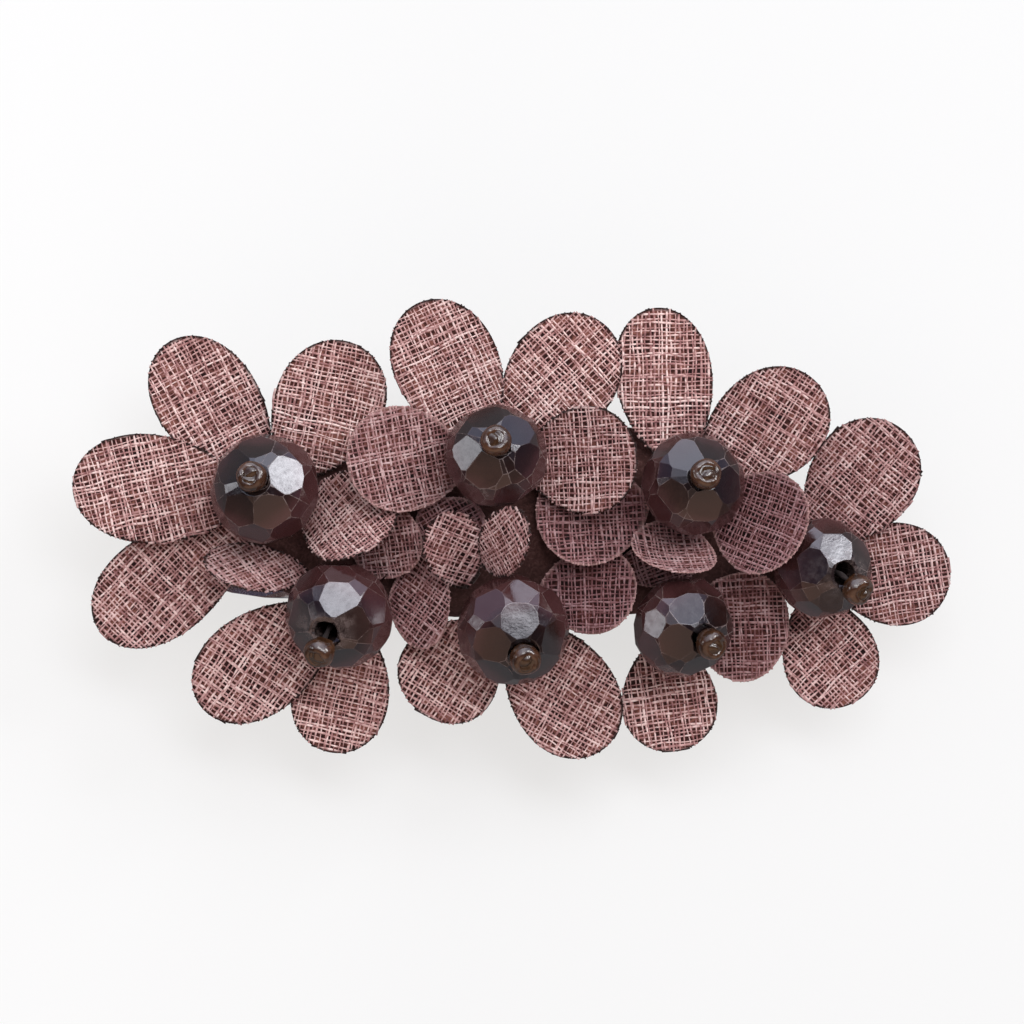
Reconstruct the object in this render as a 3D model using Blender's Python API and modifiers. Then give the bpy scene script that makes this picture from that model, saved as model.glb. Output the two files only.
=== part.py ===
# Flower hair clip: seven cloth flowers with cut beads on a felt pad, over a metal barrette.
# Millimetres in the dimensions below, metres in the scene. +X runs along the clip, +Y is the upper
# row of flowers, +Z points away from the hair. The flat back of the clasp arm lies at z = 0.
import math

import bmesh
import bpy
from mathutils import Matrix, Vector

mm = 0.001

# ---- barrette ----
bar_y = -2.2              # centre line of the barrette, under the middle of the bead weight
bar_crown = 8.64          # top of the base bar at its middle
bar_radius = 70.0         # arch of the base bar
bar_arch_end = 20.0       # half length of the arched part
bar_blend = 4.0           # the arch levels out over this length
bar_half_length = 29.0
bar_width = 9.0
bar_taper_start = 22.0    # the ends narrow from here
bar_flange = 0.9          # edges turned down
flange_fade = 3.0         # the flange runs out over this length past the arch
bar_thickness = 0.55
sewing_hole = 1.7
sewing_x = (-24.0, 18.0)
sewing_y = 2.4
hinge_x = -27.0
pin_radius = 0.66
pin_play = 0.06           # running clearance in the ears
pin_head = (0.95, 0.35)   # radius and height of a peened end
ear_y = 3.25              # middle of each hinge ear
ear_thickness = 0.5
arm_thickness = 0.55
arm_width = 4.8
arm_tip_width = 8.4
knuckle_radius = 1.0      # middle of the rolled sheet
knuckle_turn = 280.0      # degrees of sheet rolled round the pin
arm_rise = (17.0, 20.2)   # the arm climbs to its tip between these
arm_tip_z = 1.8
window_x = (21.0, 25.9)
window_half = 2.9
arm_end = 27.0
latch_x = (20.6, 26.8)
latch_plate_z = 4.2
latch_plate_thickness = 0.4
latch_half = 1.95
rivet_x = 22.6
rivet_shank = 0.65
rivet_head = 1.35
rivet_play = 0.2
wing_y = 2.3
wing_pivot_z = 4.0
wing_thickness = 0.4
spring_half_length = 19.3
spring_width = 4.6
spring_thickness = 0.35
spring_z = 4.92           # ends of the tension spring
spring_bow = 0.45
centring = (-0.17, 0.34)  # moves the finished clip so that its box is centred on the origin
# ---- pad and flowers ----
pad_crown = 12.5
pad_half = (27.0, 9.0)
pad_gap = 0.35            # over the base bar
petal_thickness = 0.36
egg = 1.3                 # above 1 puts a petal's widest place past its middle
bead_gap = 0.9            # room under a bead for the petal roots
bead_squash = 0.88        # height of a bead over its width
bead_hole = 2.2
chip_width = 3.0          # broken rim at the mouth of the hole
chip_depth = 0.34
seed_ring = 0.86
seed_wire = 0.54
seed_stretch = 1.5
seed_gap = 0.12           # under a seed bead

# rows of facets on a bead: degrees above its equator, facets in the row, depth of the cuts
facet_rows = ((55, 5, 0.925), (21, 8, 0.935), (-14, 8, 0.935), (-50, 5, 0.925))

# name: bead centre x and y, bead diameter, lean direction and lean angle in degrees,
# how far the seed bead has slipped from the middle of the hole, and the bead's own turn in degrees
flowers = {
    "f1": (-22.3, 3.4, 10.2, 130, 15, (0.0, 0.0), 14),
    "f2": (-1.4, 6.35, 9.5, 89, 15, (0.0, 0.0), 40),
    "f3": (16.4, 3.85, 9.6, 43, 14, (0.0, 0.0), 62),
    "f4": (-15.6, -8.0, 10.0, 234, 26, (-0.35, -1.35), 8),
    "f5": (0.15, -9.35, 10.4, -67, 30, (0.0, 0.0), 20),
    "f6": (15.6, -9.1, 9.4, -30, 30, (0.2, -0.2), 47),
    "f7": (28.3, -3.8, 9.3, -15, 27, (0.8, -1.1), 30),
}

# petal: flower, tip position, width, then root distance and root lift from the flower's foot,
# bow of the middle, roll at root and tip in degrees, cupping (1 / radius), direction of the root
petals = {
    "petal_1_west": ("f1", (-40.0, 4.0, 12.2), 10.0, 2.4, 1.0, 0.0, (0, 0), 0.03, None),
    "petal_1_northwest": ("f1", (-31.4, 16.7, 12.2), 9.4, 2.4, 0.6, -0.3, (0, 0), 0.03, None),
    "petal_1_northeast": ("f1", (-13.8, 16.4, 13.0), 10.0, 2.4, 0.5, 0.0, (0, 0), 0.03, None),
    "petal_1_southeast": ("f1", (-10.8, -0.3, 16.4), 9.2, 2.4, 0.6, 0.5, (0, -32), 0.05, None),
    "petal_1_southwest": ("f1", (-37.8, -9.6, 9.6), 9.6, 3.6, 0.3, 0.0, (0, 0), 0.03, None),
    "petal_2_northwest": ("f2", (-8.5, 20.2, 15.1), 9.6, 2.4, 0.75, 0.0, (0, 0), 0.03, None),
    "petal_2_northeast": ("f2", (8.1, 18.6, 13.8), 10.0, 2.5, 0.3, 0.0, (0, 0), 0.03, None),
    "petal_2_east": ("f2", (11.3, 6.4, 17.2), 9.8, 2.4, 0.9, 0.0, (0, 0), 0.03, None),
    "petal_2_west": ("f2", (-14.8, 6.5, 17.4), 9.6, 2.6, 0.95, 0.2, (0, 4), 0.03, None),
    "petal_2_south": ("f2", (-6.8, -2.6, 12.8), 7.2, 3.6, 0.4, 0.0, (0, 0), 0.03, None),
    "petal_3_north": ("f3", (12.9, 19.9, 12.2), 8.9, 2.4, 0.35, 0.0, (0, 0), 0.03, None),
    "petal_3_northeast": ("f3", (28.0, 12.8, 13.2), 9.8, 2.4, 0.9, 0.0, (0, 0), 0.03, None),
    "petal_3_southeast": ("f3", (26.2, -1.1, 17.8), 9.6, 2.7, 0.75, -0.3, (6, -5), 0.05, None),
    "petal_3_south": ("f3", (14.3, -4.0, 17.6), 8.0, 2.4, 0.65, -0.8, (-6, 0), 0.07, None),
    "petal_3_west": ("f3", (2.4, -0.1, 13.6), 9.6, 3.2, 0.5, 0.2, (10, 18), 0.03, None),
    "petal_4_northwest": ("f4", (-27.9, -3.3, 13.9), 5.8, 4.4, 1.4, 0.0, (35, 50), 0.03, 150),
    "petal_4_southwest": ("f4", (-28.6, -16.4, 9.6), 9.4, 2.4, 1.0, 0.0, (0, 0), 0.03, None),
    "petal_4_south": ("f4", (-16.6, -20.8, 8.6), 9.0, 2.4, 0.3, 0.0, (0, 0), 0.03, None),
    "petal_4_east": ("f4", (-5.6, -7.0, 13.4), 8.6, 3.2, 0.5, 0.0, (0, 0), 0.03, None),
    "petal_4_northeast": ("f4", (-9.8, 1.6, 13.8), 7.6, 2.4, 0.6, 0.0, (-10, -22), 0.03, None),
    "petal_5_southwest": ("f5", (-8.4, -17.0, 10.2), 9.4, 2.4, 0.65, 0.0, (0, 0), 0.03, None),
    "petal_5_southeast": ("f5", (8.2, -20.6, 9.6), 9.7, 2.4, 0.45, 0.0, (0, 0), 0.03, None),
    "petal_5_east": ("f5", (11.3, -5.1, 14.4), 8.0, 3.0, 1.1, -0.2, (10, -18), 0.03, None),
    "petal_5_northeast": ("f5", (1.3, 1.0, 20.5), 5.4, 4.9, 1.5, 0.9, (-22, -25), 0.03, 116),
    "petal_5_northwest": ("f5", (-6.2, 1.2, 17.2), 5.6, 4.0, 0.85, 0.2, (12, 10), 0.03, 150),
    "petal_6_south": ("f6", (15.1, -20.7, 8.5), 8.8, 2.4, 0.35, 0.0, (0, 0), 0.03, None),
    "petal_6_east": ("f6", (25.3, -9.8, 10.7), 10.2, 2.4, 0.75, 0.2, (18, 0), 0.03, None),
    "petal_6_north": ("f6", (13.4, -1.2, 12.6), 8.4, 2.6, 0.95, 0.1, (0, 0), 0.03, 85),
    "petal_7_northeast": ("f7", (35.6, 9.0, 10.6), 9.8, 2.4, 0.75, 0.0, (0, 0), 0.03, None),
    "petal_7_east": ("f7", (40.3, -5.0, 8.8), 9.5, 2.4, 0.6, 0.0, (0, 0), 0.03, None),
    "petal_7_south": ("f7", (31.0, -16.5, 7.8), 8.8, 3.4, 0.3, 0.0, (0, 0), 0.03, None),
}

# finish: base colour, metallic value and roughness
finishes = {
    "linen": ((0.30, 0.19, 0.19), 0.0, 0.9),
    "bead_glass": ((0.05, 0.03, 0.03), 0.0, 0.15),
    "bronze_lustre": ((0.22, 0.13, 0.08), 0.8, 0.3),
    "felt": ((0.16, 0.11, 0.11), 0.0, 0.95),
    "plated_steel": ((0.55, 0.54, 0.52), 1.0, 0.35),
    "spring_steel": ((0.42, 0.42, 0.43), 1.0, 0.3),
}

for old in list(bpy.data.objects):
    bpy.data.objects.remove(old, do_unlink=True)
scene = bpy.context.scene
clip = bpy.data.collections.new("flower_hair_clip")
scene.collection.children.link(clip)
cutters = bpy.data.collections.new("cutters")
scene.collection.children.link(cutters)


def material(name, finish):
    colour, metallic, roughness = finishes[finish]
    made = bpy.data.materials.new(name)
    made.use_nodes = True
    shader = made.node_tree.nodes["Principled BSDF"]
    shader.inputs["Base Color"].default_value = (*colour, 1.0)
    shader.inputs["Metallic"].default_value = metallic
    shader.inputs["Roughness"].default_value = roughness
    made.diffuse_color = (*colour, 1.0)
    return made


def mesh_object(name, bm, smooth=False):
    mesh = bpy.data.meshes.new(name)
    bmesh.ops.scale(bm, vec=(mm, mm, mm), verts=bm.verts[:])
    bm.to_mesh(mesh)
    bm.free()
    if smooth:
        mesh.shade_smooth()
    return bpy.data.objects.new(name, mesh)


def add_part(name, bm, finish, smooth=False):
    obj = mesh_object(name, bm, smooth)
    obj.data.materials.append(material(name, finish))
    clip.objects.link(obj)
    return obj


def add_cutter(name, bm):
    obj = mesh_object(name, bm)
    obj.hide_render = True
    obj.display_type = "WIRE"
    cutters.objects.link(obj)
    return obj


def solidify(obj, thickness):
    mod = obj.modifiers.new("thickness", "SOLIDIFY")
    mod.thickness = thickness * mm
    mod.offset = 0.0
    mod.use_even_offset = True


def boolean(obj, other, operation):
    mod = obj.modifiers.new(operation.lower(), "BOOLEAN")
    mod.operation = operation
    mod.solver = "EXACT"
    mod.object = other


def box(bm, low, high):
    made = bmesh.ops.create_cube(bm, size=1.0)
    size = [b - a for a, b in zip(low, high)]
    middle = [(a + b) / 2 for a, b in zip(low, high)]
    place = Matrix.Translation(middle) @ Matrix.Diagonal((*size, 1.0))
    bmesh.ops.transform(bm, matrix=place, verts=made["verts"])


def cylinder(bm, start, end, radius, segments=20):
    start, end = Vector(start), Vector(end)
    turn = (end - start).to_track_quat("Z", "Y").to_matrix().to_4x4()
    bmesh.ops.create_cone(bm, cap_ends=True, segments=segments, radius1=radius, radius2=radius,
                          depth=(end - start).length,
                          matrix=Matrix.Translation((start + end) / 2) @ turn)


def sheet_metal(cells_along, cells_across, place):
    # open sheet: a grid whose corner in column i and row j goes to place(i, j)
    bm = bmesh.new()
    bmesh.ops.create_grid(bm, x_segments=cells_along, y_segments=cells_across, size=1.0)
    for v in bm.verts:
        i = round((v.co.x + 1) / 2 * cells_along)
        j = round((v.co.y + 1) / 2 * cells_across)
        v.co = place(i, j)
    return bm


def turned(name, profile, finish, steps=16):
    # profile of (radius, height) points, top to bottom, swept round the object's own Z
    bm = bmesh.new()
    points = [bm.verts.new((r, 0, z)) for r, z in profile]
    for a, b in zip(points, points[1:]):
        bm.edges.new((a, b))
    obj = add_part(name, bm, finish)
    screw = obj.modifiers.new("turn", "SCREW")
    screw.steps = steps
    screw.render_steps = steps
    screw.use_merge_vertices = True
    screw.merge_threshold = 0.01 * mm
    return obj


# ---- base bar, arched strip with turned-down edges ----
def bar_top(x):
    # circle of bar_radius to the end of the arch, then a parabola that levels out
    x = abs(x)
    arched = min(x, bar_arch_end)
    run = min(max(x - bar_arch_end, 0.0), bar_blend)
    slope = bar_arch_end / bar_radius
    return bar_crown - arched * arched / (2 * bar_radius) - slope * (run - run * run / (2 * bar_blend))


def bar_half_width(x):
    end = max(abs(x) - bar_taper_start, 0.0) / (bar_half_length - bar_taper_start)
    return bar_width / 2 * math.sqrt(max(1.0 - 0.62 * end ** 3, 0.1))


# section of the bar: share of the half width, and drop from its top
bar_section = ((-1.0, -bar_flange), (-0.985, -0.35), (-0.9, 0.0), (-0.35, 0.0),
               (0.35, 0.0), (0.9, 0.0), (0.985, -0.35), (1.0, -bar_flange))
bar_cells = 38


def bar_corner(i, j):
    x = bar_half_length * (2 * i / bar_cells - 1)
    share, drop = bar_section[j]
    fade = min(max((abs(x) - bar_arch_end) / flange_fade, 0.0), 1.0)
    half = bar_half_width(x) - bar_thickness / 2
    return x, bar_y + half * share, bar_top(x) - bar_thickness / 2 + drop * (1 - fade)


base_bar = add_part("base_bar", sheet_metal(bar_cells, len(bar_section) - 1, bar_corner), "plated_steel")
solidify(base_bar, bar_thickness)

# hinge ears: plates under the bar with a round foot about the pin
pin_z = knuckle_radius + arm_thickness / 2
ear_top = bar_top(hinge_x) - 0.2
bm = bmesh.new()
for side in (-1, 1):
    turns = [math.pi * k / 10 for k in range(11)]
    foot = [(-pin_z * math.cos(a), pin_z * (1 - math.sin(a))) for a in turns]
    outline = [(-pin_z, ear_top), *foot, (pin_z, ear_top)]
    y = bar_y + side * ear_y - ear_thickness / 2
    plate = bm.faces.new([bm.verts.new((hinge_x + x, y, z)) for x, z in outline])
    made = bmesh.ops.extrude_face_region(bm, geom=[plate])
    moved = [v for v in made["geom"] if isinstance(v, bmesh.types.BMVert)]
    bmesh.ops.translate(bm, vec=(0, ear_thickness, 0), verts=moved)
bmesh.ops.recalc_face_normals(bm, faces=bm.faces[:])
boolean(base_bar, add_cutter("hinge_ears", bm), "UNION")

bm = bmesh.new()
cylinder(bm, (hinge_x, bar_y - bar_width, pin_z), (hinge_x, bar_y + bar_width, pin_z),
         pin_radius + pin_play)
for x in sewing_x:
    for side in (-1, 1):
        y = bar_y + side * sewing_y
        cylinder(bm, (x, y, latch_plate_z), (x, y, bar_crown), sewing_hole / 2, 16)
cylinder(bm, (rivet_x, bar_y, latch_plate_z), (rivet_x, bar_y, bar_crown), rivet_shank + rivet_play + 0.05, 16)
boolean(base_bar, add_cutter("base_bar_holes", bm), "DIFFERENCE")

# ---- hinge pin with two peened ends ----
reach = ear_y + ear_thickness / 2 + 0.06
head, head_height = pin_head
hinge_pin = turned("hinge_pin", [
    (0.0, reach + head_height), (head - 0.1, reach + head_height - 0.07), (head, reach),
    (pin_radius, reach), (pin_radius, -reach),
    (head, -reach), (head - 0.1, -reach - head_height + 0.07), (0.0, -reach - head_height),
], "plated_steel")
hinge_pin.location = (hinge_x * mm, bar_y * mm, pin_z * mm)
hinge_pin.rotation_euler = (math.radians(90), 0, 0)

# ---- clasp arm: rolled knuckle, flat spring strip, raised tip with a window for the latch ----
# stations along the sheet: x and z from the pin's axis, and half width
knuckle_steps = 14
stations = []
for k in range(knuckle_steps + 1):
    turn = math.radians(-90 - knuckle_turn * (1 - k / knuckle_steps))
    stations.append((knuckle_radius * math.cos(turn), knuckle_radius * math.sin(turn), arm_width / 2 - 0.1))
for x in (-24.0, -19.0, -12.0, -5.0, 2.0, 9.0, 14.0, arm_rise[0] - 0.5):
    stations.append((x - hinge_x, -knuckle_radius, arm_width / 2))
climb = arm_tip_z - arm_thickness / 2
for k in range(1, 6):
    s = k / 5
    x = arm_rise[0] + (arm_rise[1] - arm_rise[0]) * s
    half = (arm_width + (arm_tip_width - arm_width) * s * s) / 2
    stations.append((x - hinge_x, -knuckle_radius + climb * (3 * s * s - 2 * s ** 3), half))
for x, corner in ((window_x[0], 0.0), (window_x[1], 0.0), (arm_end - 0.35, 0.0), (arm_end, 0.5)):
    stations.append((x - hinge_x, -knuckle_radius + climb, arm_tip_width / 2 - corner))


def arm_corner(i, j):
    x, z, half = stations[i]
    inner = window_half if half > window_half + 0.3 else half * 0.6
    return x, (-half, -inner, inner, half)[j], z


bm = sheet_metal(len(stations) - 1, 3, arm_corner)
window = [f for f in bm.faces if abs(f.calc_center_median().y) < 0.1
          and window_x[0] < f.calc_center_median().x + hinge_x < window_x[1]]
bmesh.ops.delete(bm, geom=window, context="FACES")
clasp_arm = add_part("clasp_arm", bm, "plated_steel")
clasp_arm.location = (hinge_x * mm, bar_y * mm, pin_z * mm)
solidify(clasp_arm, arm_thickness)

# ---- tension spring under the bar ----
spring_cells = 16


def spring_corner(i, j):
    u = 2 * i / spring_cells - 1
    half = spring_width / 2 * (0.72 if i in (0, spring_cells) else 1.0)
    return u * spring_half_length, bar_y + half * (-1, -0.3, 0.3, 1)[j], spring_z + spring_bow * (1 - u * u)


tension_spring = add_part("tension_spring", sheet_metal(spring_cells, 3, spring_corner), "spring_steel")
solidify(tension_spring, spring_thickness)

# ---- latch: plate riveted under the bar, and two sprung wings ----
bm = bmesh.new()
half_plate = latch_plate_thickness / 2
box(bm, (latch_x[0], bar_y - latch_half, latch_plate_z - half_plate),
    (latch_x[1], bar_y + latch_half, latch_plate_z + half_plate))
latch_plate = add_part("latch_plate", bm, "plated_steel")
bm = bmesh.new()
cylinder(bm, (rivet_x, bar_y, latch_plate_z - 1), (rivet_x, bar_y, latch_plate_z + 1),
         rivet_shank + rivet_play, 16)
boolean(latch_plate, add_cutter("latch_plate_hole", bm), "DIFFERENCE")

head_top = latch_plate_z - half_plate - 0.07
latch_rivet = turned("latch_rivet", [
    (0.0, bar_top(rivet_x) - 0.02), (rivet_shank, bar_top(rivet_x) - 0.03), (rivet_shank, head_top),
    (rivet_head, head_top), (rivet_head, head_top - 0.2), (0.9, head_top - 0.43), (0.0, head_top - 0.51),
], "plated_steel")
latch_rivet.location = (rivet_x * mm, bar_y * mm, 0)

# wing sections, outward distance and drop below the pivot: the hook's and the finger tab's
hook_section = ((0.0, -0.3), (0.0, -1.2), (0.0, -2.1), (0.0, -2.75), (0.22, -3.22), (0.85, -3.0))
tab_section = ((0.0, -0.3), (0.0, -0.9), (0.25, -1.5), (0.8, -2.1), (1.4, -2.7), (1.9, -3.4))
wing_stations = ((21.6, hook_section), (23.6, hook_section), (25.5, hook_section),
                 (27.3, tab_section), (28.8, tab_section), (30.2, tab_section))
slit = (25.5, 27.3)       # below the root, hook and tab are apart here
for name, side in (("latch_wing_left", 1), ("latch_wing_right", -1)):
    def wing_corner(i, j):
        x, section = wing_stations[i]
        narrow = 0.92 if i == len(wing_stations) - 1 else 1.0
        out, drop = section[j]
        return x, side * out * narrow, drop * narrow

    bm = sheet_metal(len(wing_stations) - 1, len(hook_section) - 1, wing_corner)
    slot = [f for f in bm.faces if slit[0] < f.calc_center_median().x < slit[1]
            and f.calc_center_median().z < -0.9]
    bmesh.ops.delete(bm, geom=slot, context="FACES")
    wing = add_part(name, bm, "spring_steel")
    wing.location = (0, (bar_y + side * wing_y) * mm, wing_pivot_z * mm)
    solidify(wing, wing_thickness)


# ---- felt pad, a low mound that gives each flower its lean ----
def pad_middle(x):
    # straight, then curving towards -y past x = 14
    return 0.5 - 2.6 * min(max((x - 14) / 14, 0.0), 1.0) ** 2


def pad_top(x, y):
    return pad_crown - x * x / 176 - (y - pad_middle(x)) ** 2 / 29


bm = bmesh.new()
bmesh.ops.create_uvsphere(bm, u_segments=40, v_segments=12, radius=1.0)
for v in bm.verts:
    lat = math.asin(max(-1.0, min(1.0, v.co.z)))
    around = math.atan2(v.co.y, v.co.x)
    plan = 0.0 if abs(v.co.z) > 0.9999 else math.cos(lat) ** 0.6
    c, s = math.cos(around), math.sin(around)
    bulge = (abs(c) ** 4 + abs(s) ** 2.4) ** (-1 / 3)
    x = 1.0 + pad_half[0] * plan * c * bulge ** 0.9
    y = pad_middle(x) + pad_half[1] * plan * s * bulge ** 0.5
    top, low = pad_top(x, y), bar_top(x) + pad_gap
    middle, half = (top + low) / 2, (top - low) / 2
    v.co = (x, y, middle + half * math.copysign(abs(math.sin(lat)) ** 0.45, v.co.z))
add_part("felt_pad", bm, "felt", smooth=True)


# ---- flowers ----
def lean(direction, angle):
    a = math.radians(direction)
    return Matrix.Rotation(math.radians(angle), 3, Vector((-math.sin(a), math.cos(a), 0.0)))


def foot_of(flower):
    # where the flower's axis meets the pad, its turn, its axis and the bead's height along it
    x, y, size, direction, angle, slip, spin = flowers[flower]
    turn = lean(direction, angle)
    normal = turn @ Vector((0, 0, 1))
    height = bead_gap + size / 2 * bead_squash
    foot = Vector((x, y, 0)) - normal * height
    foot.z = pad_top(foot.x, foot.y) + 0.05
    return foot, turn, normal, height


def petal(name, flower, tip, width, root, lift, bow, roll, cup, root_direction):
    # one layer of cloth: a grid drawn onto an egg outline, cupped across and bowed along
    foot, turn, normal, height = foot_of(flower)
    tip = Vector(tip)
    a = math.atan2(tip.y - foot.y, tip.x - foot.x)
    if root_direction is not None:
        a = math.radians(root_direction)
    start = foot + turn @ Vector((root * math.cos(a), root * math.sin(a), lift))
    length = (tip - start).length
    along = (tip - start).normalized()
    side = Vector((-along.y, along.x, 0)).normalized()
    up = along.cross(side)
    bm = bmesh.new()
    bmesh.ops.create_grid(bm, x_segments=7, y_segments=5, size=1.0)
    for v in bm.verts:
        u = v.co.x * math.sqrt(1 - v.co.y ** 2 / 2)      # square to disc
        w = v.co.y * math.sqrt(1 - v.co.x ** 2 / 2)
        t = max((1 + u) / 2, 0.0) ** (1 / egg)
        y = w * width / 2
        r = math.radians(roll[0] + (roll[1] - roll[0]) * t)
        flat, rise = math.sin(y * cup) / cup, (1 - math.cos(y * cup)) / cup
        v.co = (length * t,
                flat * math.cos(r) - rise * math.sin(r),
                flat * math.sin(r) + rise * math.cos(r) + 4 * bow * t * (1 - t))
    obj = add_part(name, bm, "linen", smooth=True)
    solidify(obj, petal_thickness)
    obj.rotation_euler = Matrix((along, side, up)).transposed().to_euler()
    obj.location = start * mm


for name, row in petals.items():
    petal(name, *row)


def cut_bead(name, size, spin):
    # round blank, then a flat cut for every facet, in rows that a hand has spaced unevenly
    bm = bmesh.new()
    bmesh.ops.create_uvsphere(bm, u_segments=16, v_segments=10, radius=size / 2)
    for v in bm.verts:
        v.co.z *= bead_squash
    cuts = []
    for row, (latitude, count, depth) in enumerate(facet_rows):
        for k in range(count):
            wobble = math.sin(3.7 * k + latitude + spin * 0.35)
            around = math.radians(spin) + 2 * math.pi * (k + 0.5 * row + 0.17 * wobble) / count
            up = math.radians(latitude + 5 * math.sin(2.3 * k + spin * 0.2))
            normal = Vector((math.cos(around) * math.cos(up), math.sin(around) * math.cos(up), math.sin(up)))
            support = size / 2 * math.sqrt(normal.x ** 2 + normal.y ** 2 + (normal.z * bead_squash) ** 2)
            cuts.append((normal, support * (depth + 0.006 * wobble)))
    for sign in (1, -1):
        cuts.append((Vector((0, 0, sign)), size / 2 * bead_squash * 0.95))
    for normal, distance in cuts:
        made = bmesh.ops.bisect_plane(bm, geom=bm.verts[:] + bm.edges[:] + bm.faces[:], dist=1e-5,
                                      plane_co=normal * distance, plane_no=normal, clear_outer=True)
        rim = [e for e in made["geom_cut"] if isinstance(e, bmesh.types.BMEdge)]
        if rim:
            bmesh.ops.contextual_create(bm, geom=rim)
    bmesh.ops.dissolve_limit(bm, angle_limit=math.radians(1.5), verts=bm.verts[:], edges=bm.edges[:])
    bmesh.ops.remove_doubles(bm, verts=bm.verts[:], dist=0.02)
    bmesh.ops.recalc_face_normals(bm, faces=bm.faces[:])
    return add_part(name, bm, "bead_glass")


def drill(name, size, spin):
    # straight hole whose two mouths broke out as uneven cones with few sides
    bm = bmesh.new()
    cylinder(bm, (0, 0, -size), (0, 0, size), bead_hole / 2, 14)
    straight = add_cutter(name, bm)
    bm = bmesh.new()
    mouth = size / 2 * bead_squash * 0.95
    for sign in (1, -1):
        made = bmesh.ops.create_cone(bm, cap_ends=True, segments=9, radius1=bead_hole / 2 - 0.3,
                                     radius2=chip_width / 2 + 0.3, depth=2 * chip_depth)
        for v in made["verts"]:
            around = math.atan2(v.co.y, v.co.x)
            share = 1 + 0.16 * math.sin(2 * around + spin) + 0.1 * math.sin(5 * around + spin * 2)
            v.co = (v.co.x * share, v.co.y * share, sign * (v.co.z + mouth))
    bmesh.ops.recalc_face_normals(bm, faces=bm.faces[:])
    return straight, add_cutter(name + "_mouths", bm)


for index, (flower, (x, y, size, direction, angle, slip, spin)) in enumerate(flowers.items(), 1):
    foot, turn, normal, height = foot_of(flower)
    centre = foot + normal * height
    bead = cut_bead(f"faceted_bead_{index}", size, spin)
    bead.location = centre * mm
    bead.rotation_euler = turn.to_euler()
    for cutter in drill(f"bead_drill_{index}", size, spin):
        cutter.location = bead.location
        cutter.rotation_euler = bead.rotation_euler
        boolean(bead, cutter, "DIFFERENCE")

    # seed bead on top, slipped to one side of the hole on some flowers
    off = Vector((*slip, 0))
    rise = size / 2 * bead_squash * math.sqrt(1 - (off.length / (size / 2)) ** 2)
    tilt = Matrix.Identity(3)
    if off.length > 0.01:
        tip_over = math.atan2(off.length, size / 2) * 1.3
        tilt = Matrix.Rotation(tip_over, 3, Vector((-off.y, off.x, 0)).normalized())
    out = tilt @ Vector((0, 0, seed_wire * seed_stretch + seed_gap))
    bpy.ops.mesh.primitive_torus_add(major_radius=seed_ring * mm, minor_radius=seed_wire * mm,
                                     major_segments=14, minor_segments=8)
    seed = bpy.context.object
    seed.name = f"seed_bead_{index}"
    seed.data.name = seed.name
    for v in seed.data.vertices:
        v.co.z *= seed_stretch
    seed.data.shade_smooth()
    seed.data.materials.append(material(seed.name, "bronze_lustre"))
    for other in list(seed.users_collection):
        other.objects.unlink(seed)
    clip.objects.link(seed)
    seed.location = (centre + turn @ (off + Vector((0, 0, rise)) + out)) * mm
    seed.rotation_euler = (turn @ tilt).to_euler()

for obj in list(clip.objects) + list(cutters.objects):
    obj.location += Vector((*centring, 0)) * mm
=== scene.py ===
import math
from collections import namedtuple

import bmesh
import bpy
import numpy as np
from mathutils import Matrix, Vector


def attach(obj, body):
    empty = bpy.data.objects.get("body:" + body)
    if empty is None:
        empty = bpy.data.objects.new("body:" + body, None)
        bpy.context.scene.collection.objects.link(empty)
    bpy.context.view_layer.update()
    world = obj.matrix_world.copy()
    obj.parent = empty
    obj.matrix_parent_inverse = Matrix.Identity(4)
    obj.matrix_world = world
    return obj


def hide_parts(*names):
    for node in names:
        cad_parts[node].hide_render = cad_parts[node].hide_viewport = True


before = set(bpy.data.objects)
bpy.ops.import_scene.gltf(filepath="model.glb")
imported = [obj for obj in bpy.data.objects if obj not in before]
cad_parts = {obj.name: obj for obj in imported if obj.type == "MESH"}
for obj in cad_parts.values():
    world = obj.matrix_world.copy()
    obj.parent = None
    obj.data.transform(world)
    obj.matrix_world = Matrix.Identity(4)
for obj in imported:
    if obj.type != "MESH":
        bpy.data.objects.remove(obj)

# Looks of the flower hair clip. Lengths are millimetres until a mesh is made, then metres.
scene = bpy.context.scene
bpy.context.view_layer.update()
mm = 0.001
sameSpot = 2e-6     # metres, within which two points of a mesh are one


def fromHex(code):
    # an sRGB hex value turned to linear colour, with alpha 1: a share up to 0.04045 is divided by
    # 12.92, and from a larger one comes (share + 0.055) / 1.055 to the power of 2.4
    parts = np.array([int(code[i:i + 2], 16) / 255 for i in (1, 3, 5)])
    linear = np.where(parts <= 0.04045, parts / 12.92, ((parts + 0.055) / 1.055) ** 2.4)
    return (*linear.tolist(), 1.0)


def setInputs(tree, node, inputs):
    # an input gets a value, a hex colour, or a link from an output or from a node's first output
    for key, value in inputs.items():
        if isinstance(value, bpy.types.Node):
            value = value.outputs[0]
        if isinstance(value, bpy.types.NodeSocket):
            tree.links.new(value, node.inputs[key])
        else:
            node.inputs[key].default_value = fromHex(value) if isinstance(value, str) else value


def addNode(tree, kind, inputs=None, stops=(), **settings):
    # one node with its inputs, its settings and, on a colour ramp, its stops as (share, hex).
    # Inputs 1 to 4 of a MapRange are the range read and the range given. Input 0 of a Mix is the
    # share, 2 and 3 are its numbers, and 6 and 7 its colours, whose mix is output 2.
    node = tree.nodes.new("ShaderNode" + kind)
    for key, value in settings.items():
        setattr(node, key, value)
    setInputs(tree, node, inputs or {})
    if stops:
        elements = node.color_ramp.elements
        while len(elements) < len(stops):
            elements.new(1.0)
        for element, (share, code) in zip(elements, stops):
            element.position = share
            element.color = fromHex(code)
    return node


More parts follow.
